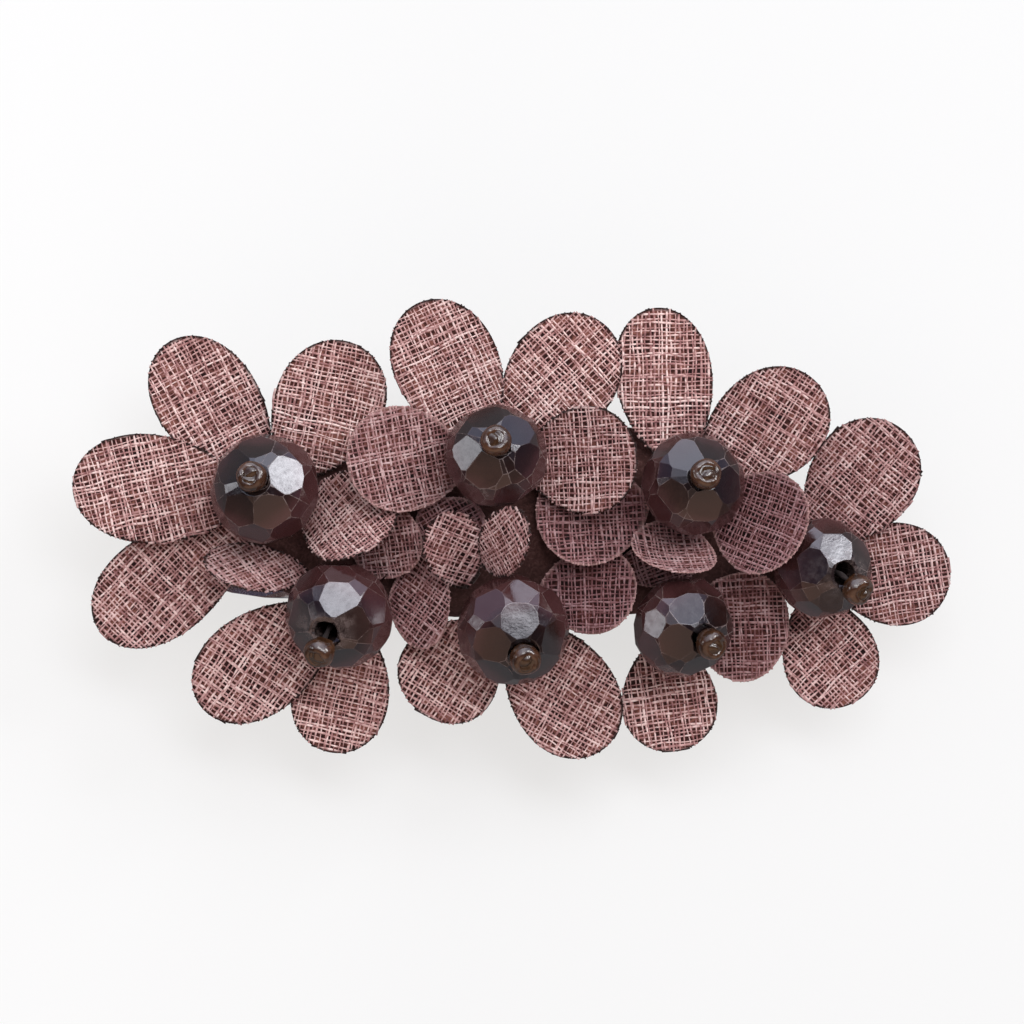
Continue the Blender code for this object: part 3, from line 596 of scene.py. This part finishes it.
def weaveFamily(row, place, rng, family, angle, lines):
    # Threads that run one way. Each is a tube along a straight line of the flat cloth; its middle
    # goes over and under the threads that cross it, as a cosine of their number, and its width
    # swells at slubs, as a bell curve. Returns points, quads, uvs and values.
    width, length = row.width, place[2]
    one = np.array([math.cos(angle), math.sin(angle)])
    other = np.array([-math.sin(angle), math.cos(angle)])
    along, across = (one, other) if family == 0 else (other, one)
    number, offsets = lines[family]
    crossNumber, crossOffsets = lines[1 - family]
    samples = len(number) // 2 * linen["samplesPerPitch"]
    kept, begin, end = cutEnds(length, width, offsets, along, across)
    number, offsets = number[kept], offsets[kept]
    begin = begin + rng.uniform(*linen["endSpread"], len(begin))
    end = end - rng.uniform(*linen["endSpread"], len(end))
    marks = np.arange(-samples, samples + 1) * (linen["pitch"] / linen["samplesPerPitch"])
    s = np.clip(marks[None, :], begin[:, None], end[:, None])
    threads = len(s)

    middle = offsets[:, None] + slowWave(rng, s, linen["sidePeriods"], linen["sideWander"])
    crossed = np.interp(s, crossOffsets, crossNumber)
    over = np.cos(math.pi * (crossed + number[:, None])) * (1 if family == 0 else -1)
    swell = 1 + slowWave(rng, s, linen["swellPeriods"], linen["swell"])
    for _ in range(linen["slubTries"]):
        where = begin + (end - begin) * rng.random(threads)
        chosen = rng.random(threads) < linen["slubsPerThread"] / linen["slubTries"]
        strength = chosen * drawn(rng, linen["slubSwell"], threads)
        run = drawn(rng, linen["slubRun"], threads)
        swell = swell + strength[:, None] * np.exp(-((s - where[:, None]) / run[:, None]) ** 2)
    fineness = drawn(rng, linen["fineness"], (threads, 1))
    halfW = linen["threadWidth"] / 2 * np.clip(swell * fineness, *linen["widthLimits"])
    plain, more = linen["flattening"]
    halfT = linen["threadThickness"] / 2 * np.clip(plain + more * swell, *linen["thicknessLimits"])
    # the tone varies at random, and it carries painted light too: paler where the thread passes over, darker
    # where it passes under
    tone = np.clip(linen["tone"] + linen["toneByThread"] * rng.standard_normal((threads, 1))
                   + linen["toneBySwell"] * (swell - 1)
                   + slowWave(rng, s, linen["tonePeriods"], linen["toneAlong"])
                   + linen["overUnderLight"] * over, 0, 1)
    # only some of the thread ends are fully darkened at the cut, so that the outline is broken
    darkEnds = np.where(rng.random((threads, 1, 1)) < linen["darkEndShare"], 1.0, linen["otherEnds"])

    around = np.arange(6) * math.pi / 3 + math.pi / 6
    if family == 1:
        around = -around     # so that the faces look outwards in both families
    o = middle[..., None] + halfW[..., None] * np.cos(around)
    x = length / 2 + o * across[0] + s[..., None] * along[0]
    y = o * across[1] + s[..., None] * along[1]
    lift = linen["weaveHeight"] * over[..., None] + halfT[..., None] * np.sin(around)
    # values: the tone with its painted light over and under, the painted shade, and the cut edge
    values = {"tone": np.broadcast_to(tone[..., None], x.shape), "dye": paintedShadeAt(row, length, x),
              "edge": nearCut(row, length, x, y) * darkEnds}
    return (petalPoint(row, place, x, y, lift).reshape(-1, 3), *tubeFaces(s),
            {key: value.reshape(-1) for key, value in values.items()})


def woven(families):
    # both families in one mesh, without the points that no face uses
    points = np.concatenate([part[0] for part in families])
    quads = np.concatenate([families[0][1], families[1][1] + len(families[0][0])])
    uvs = np.concatenate([part[2] for part in families])
    used = np.unique(quads)
    order = np.zeros(len(points), int)
    order[used] = np.arange(len(used))
    values = {key: np.concatenate([part[3][key] for part in families])[used] for key in families[0][3]}
    return points[used], order[quads], uvs, values


def buildPetal(name, row, rng, yarn, ground):
    place = placePetal(row)
    width, length = row.width, place[2]
    # the ground: a square grid drawn onto the egg outline, its last ring as narrow as the rim
    ring = 1 - 2 * linen["rim"] / width
    u, w = np.meshgrid(*(np.concatenate([[-1], np.linspace(-ring, ring, rows), [1]]) for rows in (27, 23)),
                       indexing="ij")
    u, w = u * np.sqrt(1 - w * w / 2), w * np.sqrt(1 - u * u / 2)
    x = length * np.clip((1 + u) / 2, 0, 1) ** (1 / linen["eggPower"])
    y = w * width / 2
    points = petalPoint(row, place, x, y, np.zeros_like(x)).reshape(-1, 3)
    # the cloth carries the painted shade, and the cut edge's darkening or painted highlight
    cloth = newMesh(name + "_cloth", points, gridFaces(u.shape), values={
        "dye": paintedShadeAt(row, length, x).reshape(-1), "edge": nearCut(row, length, x, y).reshape(-1)})
    skin = cloth.modifiers.new("thickness", "SOLIDIFY")
    skin.thickness = linen["groundThickness"] * mm
    skin.offset = 0.0
    finishPiece(cloth, ground, name)

    # both ways, the threads lie a pitch apart give or take a random share of it
    angle = math.radians(row.weave) - math.atan2(place[1][0][1], place[1][0][0])
    count = int(math.hypot(length, width) / 2 / linen["pitch"]) + 2
    number = np.arange(-count, count)
    lines = [(number, np.sort((number + 0.5 + linen["spacingWander"] * rng.standard_normal(2 * count))
                              * linen["pitch"])) for _ in (0, 1)]
    threads = newMesh(name + "_threads", *woven(
        [weaveFamily(row, place, rng, family, angle, lines) for family in (0, 1)]))
    finishPiece(threads, yarn, name)

    # the number of faces in its threads
    return len(threads.data.polygons)


yarn, ground = linenThreadMaterial(), linenGroundShadeMaterial()
rng = np.random.default_rng(31)
total = sum(buildPetal(name, row, rng, yarn, ground) for name, row in petals.items())
print("petals woven,", total, "faces in the threads")

# Cut glass beads
bead = {
    "flat": 1.0,       # degrees, below which two faces are one facet
    "sharp": 6.0,      # degrees, above which an edge is softened
    "edge": 0.07,      # mm, width of the softened facet edges
    "edgeSteps": 2,
    "worn": 0.055,     # mm, width of the pale rubbed band along them
    "smallest": 0.10,  # mm2, facets below this are worn all over
    "bore": 0.95,      # mm from the bead's axis, inside which nothing is rubbed
    "chips": 1.35,     # mm from the axis to the middle of the chipped ring round the hole
    "chipReach": 0.7,  # mm from there to where the chips end
    "bare": 1.0,       # mm of slip of the seed bead, past which that ring shows
    "throughGlow": 5.0,       # mm from the axis, where the painted light through the thin glass is full
    "throughGlowBelow": 0.5,  # how much more of that painted light there is towards the bead's foot
}


def beadGlassMaterial():
    # Smoky aubergine glass, moulded, cut and tumbled: facets that mirror the room a little softly, pale
    # rubbed edges, pits and scratches, a nearly black middle, and a red brown rim that is painted light,
    # standing for the light that comes through where the glass is thin, with more of it below the bead's
    # middle
    made, tree, shader, place = newMaterial("tumbledCutGlass")
    worn, rim = (addNode(tree, "Attribute", attribute_name=name).outputs["Fac"] for name in ("worn", "rim"))
    wear = addNode(tree, "TexNoise", {"Vector": place, "Scale": 1500.0, "Detail": 4.0, "Roughness": 0.7})
    cloud = addNode(tree, "TexNoise", {"Vector": place, "Scale": 260.0, "Detail": 3.0})
    # rubbed where the edge, a cloud and a fine grain meet, which also makes it rougher
    patchy = addNode(tree, "MapRange", {0: cloud, 1: 0.40, 2: 0.60, 3: 0.1, 4: 1.0})
    fine = addNode(tree, "MapRange", {0: wear, 1: 0.35, 2: 0.6})
    both = addNode(tree, "Math", {0: patchy, 1: fine}, operation="MULTIPLY")
    rub = addNode(tree, "Math", {0: worn, 1: both}, operation="MULTIPLY")
    rough = addNode(tree, "MapRange", {0: wear, 1: 0.35, 2: 0.75, 3: 0.10, 4: 0.26})
    rougher = addNode(tree, "Math", {0: rub, 1: 0.3, 2: rough}, operation="MULTIPLY_ADD")
    # painted light through the glass: red brown towards the rim and the bead's foot, varied by the cloud
    throughGlow = addNode(tree, "Math", {0: cloud, 1: 0.5, 2: rim}, operation="MULTIPLY_ADD")
    body = addNode(tree, "ValToRGB", {0: throughGlow}, [(0.35, "#120909"), (0.75, "#241311"), (1.0, "#402526")])
    colour = addNode(tree, "Mix", {0: rub, 6: body, 7: "#6d5e5c"}, data_type="RGBA")
    # facets ground by hand aren't quite flat, and the tumbling has pitted them
    ripple = addNode(tree, "TexNoise", {"Vector": place, "Scale": 300.0, "Detail": 1.5})
    wave = addNode(tree, "Bump", {"Height": ripple, "Strength": 0.4, "Distance": 0.00014})
    pits = addNode(tree, "TexNoise", {"Vector": place, "Scale": 3800.0, "Detail": 2.0})
    pitted = addNode(tree, "Bump", {"Height": pits, "Normal": wave, "Strength": 0.18, "Distance": 0.00003})
    setInputs(tree, shader, {
        "Base Color": colour.outputs[2], "Roughness": rougher, "Normal": pitted, "IOR": 1.62,
        "Transmission Weight": 0.1, "Specular Tint": "#f8f8ff"})
    return made


def cutBead(index, flower):
    # The CAD bead as one skin, each facet inset so that its border can carry the wear. Worn is 1 at a bend
    # and falls evenly away from the chipped ring. Rim, painted light that comes through the glass, is the
    # square of the way out from the axis over the glow distance, and more below the bead's middle.
    foot, turn, normal, height = flowerFrame(flower)
    start = Vector(centred(np.array(foot)))
    bare = math.hypot(*flowers[flower].slip) > bead["bare"]
    bm = bmesh.new()
    bm.from_mesh(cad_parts[f"faceted_bead_{index}"].data)
    bmesh.ops.remove_doubles(bm, verts=bm.verts[:], dist=sameSpot)
    flat = math.radians(bead["flat"])
    bmesh.ops.dissolve_limit(bm, angle_limit=flat, verts=bm.verts[:], edges=bm.edges[:])
    sharp = [edge for edge in bm.edges if edge.calc_face_angle(0.0) > math.radians(bead["sharp"])]
    bmesh.ops.bevel(bm, geom=sharp, offset=bead["edge"] * mm, offset_type="OFFSET",
                    segments=bead["edgeSteps"], profile=0.5, affect="EDGES", clamp_overlap=True)
    facets = [face for face in bm.faces if face.calc_area() > bead["smallest"] * mm * mm]
    bmesh.ops.inset_individual(bm, faces=facets, thickness=bead["worn"] * mm, use_even_offset=True)
    bm.normal_update()
    worn, rim = (bm.verts.layers.float.new(name) for name in ("worn", "rim"))
    for vert in bm.verts:
        along = (vert.co / mm - start).dot(normal)
        out = (vert.co / mm - start - normal * along).length
        sides = [face.normal for face in vert.link_faces]
        bent = max(sides[0].angle(side, 0.0) for side in sides) > flat
        chip = 0.0
        if along > height and bare:
            chip = max(0.0, 1 - abs(out - bead["chips"]) / bead["chipReach"])
        vert[worn] = max(1.0 if bent else 0.0, chip) if out > bead["bore"] else 0.0
        # painted light through the glass, growing towards the rim and below the bead's middle
        low = max(0.0, (height - along) / height)
        vert[rim] = min(1.0, (out / bead["throughGlow"]) ** 2 + bead["throughGlowBelow"] * low)
    mesh = bpy.data.meshes.new(f"cut_bead_{index}")
    bm.to_mesh(mesh)
    bm.free()
    mesh.shade_smooth()
    obj = addObject(mesh.name, mesh)
    weighted = obj.modifiers.new("flatFacets", "WEIGHTED_NORMAL")
    weighted.keep_sharp = True
    weighted.weight = 100
    return obj


glass = beadGlassMaterial()
for index, flower in enumerate(flowers, 1):
    finishPiece(cutBead(index, flower), glass, f"faceted_bead_{index}")
print("cut beads ready")

# Seed beads, each with its sewing thread, in mm
seed = {
    "ring": 0.86,                 # from the hole's axis to the middle of the ring's wire
    "wire": 0.54,                 # radius of that wire
    "stretch": 1.5,               # how much taller it is than wide
    "over": 0.12,                 # room over the cut bead
    "tip": 1.3,                   # how much more a bead that slipped is tipped than the crown under it
    "seat": 1.4,                  # how much taller the lower half is, so that it rests on the cut bead
    "widthWaves": (0.05, 0.03),   # share of the wire, three and five times round
    "heightWaves": (0.10, 0.05),  # share of the height, twice and five times round
    "knot": 0.95,                 # radius of the thread knot that fills the hole
    "knotMiddle": 0.22,
    "knotTall": 0.72,
    "knotPower": 0.6,             # below 1 it is fuller than an egg
    "crease": 0.20,               # depth of the line where the thread turns back
    "creaseWidth": 0.17,
    "creaseBend": (0.25, 0.8),    # how far it lies off the middle, and how much it curves
    "lumps": 0.10,
    "lumpRate": (4.4, 3.6),       # radians to a mm, along and beside
    "thread": 0.22,               # radius of the doubled sewing thread below the seed bead
    "twist": 16.0,                # radians that its two lobes turn on the way down
    "lobes": 0.16,                # share of its radius
    "mouth": 0.9,                 # how deep under the crown the cut bead's hole starts to be straight
    # how far the thread heads straight on below the seed bead, above the mouth and inside the hole
    "sway": (1.2, 0.9, 1.5),
}


def seedBronzeMaterial():
    # Small glass bead fired bronze brown, its hole closed by waxed thread: dark, with wet highlights.
    # The attribute is 0 on the bead, 1 on the knot and 2 on the bare thread.
    made, tree, shader, place = newMaterial("bronzeLustreGlass")
    cloud = addNode(tree, "TexNoise", {"Vector": place, "Scale": 900.0, "Detail": 4.0})
    ring = addNode(tree, "ValToRGB", {0: cloud}, [(0.3, "#26170f"), (0.5, "#3a2417"), (0.72, "#523625")])
    knot = addNode(tree, "Attribute", attribute_name="knot").outputs["Fac"]
    colour = addNode(tree, "Mix", {0: knot, 6: ring, 7: "#33200f"}, data_type="RGBA")
    isThread = addNode(tree, "MapRange", {0: knot, 1: 1.0, 2: 2.0})
    waxed = addNode(tree, "Mix", {0: isThread, 6: colour.outputs[2], 7: "#1d1110"}, data_type="RGBA")
    rough = addNode(tree, "MapRange", {0: isThread, 3: 0.16, 4: 0.95})
    bump = addNode(tree, "Bump", {"Height": cloud, "Strength": 0.6, "Distance": 0.00018})
    setInputs(tree, shader, {"Base Color": waxed.outputs[2], "Roughness": rough, "Normal": bump, "IOR": 1.6})
    return made


def seedFrame(flower):
    # where the seed bead sits: on the big bead's crown, tipped over by its slip
    row = flowers[flower]
    foot, turn, normal, height = flowerFrame(flower)
    off = Vector((*row.slip, 0))
    rise = row.size / 2 * clipShape["beadSquash"] * math.sqrt(1 - (off.length / (row.size / 2)) ** 2)
    tilt = Matrix.Identity(3)
    if off.length > 0:
        tilt = Matrix.Rotation(math.atan2(off.length, row.size / 2) * seed["tip"], 3,
                               Vector((-off.y, off.x, 0)).normalized())
    out = tilt @ Vector((0, 0, seed["wire"] * seed["stretch"] + seed["over"]))
    centre = foot + normal * height + turn @ (off + Vector((0, 0, rise)) + out)
    return np.array(centre), np.array((turn @ tilt).transposed())


def seedSurface(phase):
    # A ring whose profile is an upright ellipse with slow waves round it, and in its hole the knot
    # of sewing thread: an egg with waves crossing on its top, and a curved crease as a bell curve
    a, b = np.meshgrid(np.linspace(0, 2 * math.pi, 48, endpoint=False),
                       np.linspace(0, 2 * math.pi, 28, endpoint=False), indexing="ij")
    (three, five), (twice, fiveTall) = seed["widthWaves"], seed["heightWaves"]
    r = seed["ring"] + seed["wire"] * np.cos(b) * (1 + three * np.sin(3 * a + phase) + five * np.sin(5 * a))
    rise = seed["wire"] * seed["stretch"] * np.sin(b) * (
        1 + twice * np.sin(2 * a + phase) + fiveTall * np.sin(5 * a - phase))
    rise = np.where(rise < 0, rise * seed["seat"], rise)
    ring = np.stack([r * np.cos(a), r * np.sin(a), rise], -1).reshape(-1, 3)
    ringQuads = gridFaces(a.shape, closed=(0, 1))

    a, q = np.meshgrid(np.linspace(0, 2 * math.pi, 32, endpoint=False),
                       np.linspace(-math.pi / 2, math.pi / 2, 22), indexing="ij")
    x, y = seed["knot"] * np.cos(q) * np.cos(a), seed["knot"] * np.cos(q) * np.sin(a)
    along = x * math.cos(phase) + y * math.sin(phase)
    beside = y * math.cos(phase) - x * math.sin(phase)
    off, curve = seed["creaseBend"]
    crease = seed["crease"] * np.exp(-((along + off - curve * beside ** 2) / seed["creaseWidth"]) ** 2)
    rateAlong, rateBeside = seed["lumpRate"]
    lumps = seed["lumps"] * np.sin(rateAlong * along + 1.3 + phase) * np.cos(rateBeside * beside - phase)
    rise = np.sign(q) * np.abs(np.sin(q)) ** seed["knotPower"]
    top = (lumps - crease) * np.clip(np.sin(q), 0, 1)
    knot = np.stack([x, y, seed["knotMiddle"] + seed["knotTall"] * rise + top], -1).reshape(-1, 3)
    quads = np.concatenate([ringQuads, gridFaces(a.shape, closed=(0,), first=len(ring))])
    return np.concatenate([ring, knot]), quads, np.repeat([0.0, 1.0], [len(ring), len(knot)])


def threadSurface(flower, middle, axes):
    # sewing thread from the seed bead's middle down into the cut bead's hole: a cubic curve swept
    # by a two-lobed profile that turns as it goes, with its ends drawn to a point
    foot, turn, normal, height = flowerFrame(flower)
    normal = np.array(normal)
    crown = height + flowers[flower].size / 2 * clipShape["beadSquash"]
    hole = np.array(foot) + normal * (crown - seed["mouth"])
    below, above, inside = seed["sway"]
    bends = (middle, middle - below * axes[2], hole + above * normal, hole - inside * normal)
    t = np.linspace(0, 1, 26)[:, None]
    shares = ((1 - t) ** 3, 3 * (1 - t) ** 2 * t, 3 * (1 - t) * t ** 2, t ** 3)
    path = sum(share * bend for share, bend in zip(shares, bends))
    ahead = np.gradient(path, axis=0)
    across = np.cross(ahead, axes[0])
    across /= np.linalg.norm(across, axis=1, keepdims=True)
    up = np.cross(across, ahead)
    up /= np.linalg.norm(up, axis=1, keepdims=True)
    a = np.linspace(0, 2 * math.pi, 16, endpoint=False)[None, :]
    lobes = 1 + seed["lobes"] * np.cos(2 * a - seed["twist"] * t)
    radius = seed["thread"] * lobes * (1 - (2 * t - 1) ** 40)
    points = path[:, None] + radius[..., None] * (np.cos(a)[..., None] * across[:, None]
                                                  + np.sin(a)[..., None] * up[:, None])
    return points.reshape(-1, 3), gridFaces(points.shape[:2], closed=(1,))


bronze = seedBronzeMaterial()
for index, flower in enumerate(flowers, 1):
    middle, axes = seedFrame(flower)
    points, quads, isKnot = seedSurface(1.7 * index)     # 1.7 turns each bead's waves another way
    below, belowQuads = threadSurface(flower, middle, axes)
    piece = joined(newMesh(
        f"seed_{index}", centred(np.concatenate([middle + points @ axes, below])),
        np.concatenate([quads, belowQuads + len(points)]),
        values={"knot": np.concatenate([isKnot, np.full(len(below), 2.0)])}))
    finishPiece(piece, bronze, f"seed_bead_{index}")
print("seed beads ready")

# Felt pad, in mm
pad = {
    "middle": 1.0,     # x of its middle
    "halfLength": 27.0,
    "halfWidth": 9.0,
    "overBar": 0.35,   # room between the bar and its underside
    "planPower": 0.6,  # how round its sides are, and how flat its top and underside
    "risePower": 0.45,
    "around": 220,     # points round it and up it
    "rows": 70,
    "fuzz": 0.10,      # depth of the small lumps
    # directions in radians to a mm, and phases, of the three waves that make them
    "waves": (((2.9, 1.1, 3.7), 0.3), ((-1.7, 3.3, 2.1), 1.9), ((4.1, -2.6, 1.5), 4.0)),
}


def feltMaterial():
    # Wool felt, pressed: dark aubergine brown, darkened further as painted shade so that it reads as deep
    # shade between the petals, quite matt, with fine tangled fibres
    made, tree, shader, place = newMaterial("pressedWoolFeltShaded")
    fibre = addNode(tree, "TexNoise", {"Vector": place, "Scale": 1900.0, "Detail": 6.0, "Roughness": 0.7,
                                       "Distortion": 1.2})
    # painted shade: these colours are darker than the felt's own, so that the gaps between the petals read
    # as deep shade
    colour = addNode(tree, "ValToRGB", {0: fibre}, [(0.3, "#2a1817"), (0.55, "#442c2a"), (0.75, "#5e4442")])
    bump = addNode(tree, "Bump", {"Height": fibre, "Strength": 0.6, "Distance": 0.00012})
    setInputs(tree, shader, {
        "Base Color": colour, "Normal": bump, "Roughness": 0.95, "Specular IOR Level": 0.1,
        "Sheen Weight": 0.35, "Sheen Roughness": 0.5, "Sheen Tint": "#b49a98"})
    return made


def buildPad():
    # a rounded block on the arched bar: at latitude q its plan shrinks as a power of cos(q), and its
    # height runs between the bar and the pad's top as a power of sin(q)
    a, q = np.meshgrid(np.linspace(0, 2 * math.pi, pad["around"], endpoint=False),
                       np.linspace(-math.pi / 2, math.pi / 2, pad["rows"]), indexing="ij")
    c, s = np.cos(a), np.sin(a)
    plan = np.maximum(np.cos(q), 0.0) ** pad["planPower"]
    reach = (np.abs(c) ** 4 + np.abs(s) ** 2.4) ** (-1 / 3)     # pushes the plan out to blunt corners
    x = pad["middle"] + pad["halfLength"] * plan * c * reach ** 0.9
    y = padMiddle(x) + pad["halfWidth"] * plan * s * reach ** 0.5
    top, low = padTop(x, y), barTop(x) + pad["overBar"]
    rise = np.sign(q) * np.abs(np.sin(q)) ** pad["risePower"]
    points = np.stack([x, y, (top + low) / 2 + (top - low) / 2 * rise], -1)
    # fibres matted into small lumps, by three crossed waves, inwards only
    lump = sum(np.sin(points @ np.array(way) + phase) for way, phase in pad["waves"]) / 3
    outward = np.stack([x * 0, (y - padMiddle(x)) / pad["halfWidth"], rise], -1)
    points = points - outward * (pad["fuzz"] * (0.5 + 0.5 * lump))[..., None]
    obj = joined(newMesh("pad_felt", centred(points.reshape(-1, 3)), gridFaces(a.shape, closed=(0,))))
    finishPiece(obj, feltMaterial(), "felt_pad")


buildPad()
print("felt pad ready")

# Barrette metal, which stays on the CAD's own nodes. Stretch multiplies the pattern's coordinates.
# Gloss is where the roughness stops rising, its least and its most.
metals = {
    # Pressed steel, nickel plated and barrel polished: bright grey, with fine random rub marks
    "nickelPlatedSteel": {
        "nodes": ("base_bar", "hinge_pin", "latch_plate", "latch_rivet", "clasp_arm"),
        "stretch": (1.0, 1.0, 1.0), "scale": 620.0, "detail": 6.0, "fine": 0.75,
        "colours": ("#a8b0ba", "#c6ccd4"), "gloss": (0.75, 0.18, 0.34), "bump": (0.12, 0.00004),
    },
    # Spring strip, rolled and tempered: darker blue grey, with fine lines along the rolling direction
    "rolledSpringSteel": {
        "nodes": ("tension_spring", "latch_wing_left", "latch_wing_right"),
        "stretch": (40.0, 2600.0, 2600.0), "scale": 1.0, "detail": 4.0, "fine": 0.5,
        "colours": ("#858b95", "#a2a8b0"), "gloss": (0.7, 0.22, 0.38), "bump": (0.15, 0.00003),
    },
}


def metalMaterial(name, look):
    made, tree, shader, place = newMaterial(name)
    stretched = addNode(tree, "Mapping", {"Vector": place, "Scale": look["stretch"]})
    marks = addNode(tree, "TexNoise", {"Vector": stretched, "Scale": look["scale"],
                                       "Detail": look["detail"], "Roughness": look["fine"]})
    colour = addNode(tree, "ValToRGB", {0: marks}, list(zip((0.3, 0.7), look["colours"])))
    most, low, high = look["gloss"]
    rough = addNode(tree, "MapRange", {0: marks, 1: 0.3, 2: most, 3: low, 4: high})
    strength, distance = look["bump"]
    bump = addNode(tree, "Bump", {"Height": marks, "Strength": strength, "Distance": distance})
    setInputs(tree, shader, {"Metallic": 1.0, "Base Color": colour, "Roughness": rough, "Normal": bump})
    return made


for name, look in metals.items():
    metal = metalMaterial(name, look)
    for node in look["nodes"]:
        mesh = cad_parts[node].data
        mesh.materials.clear()
        mesh.materials.append(metal)
print("metal parts finished")
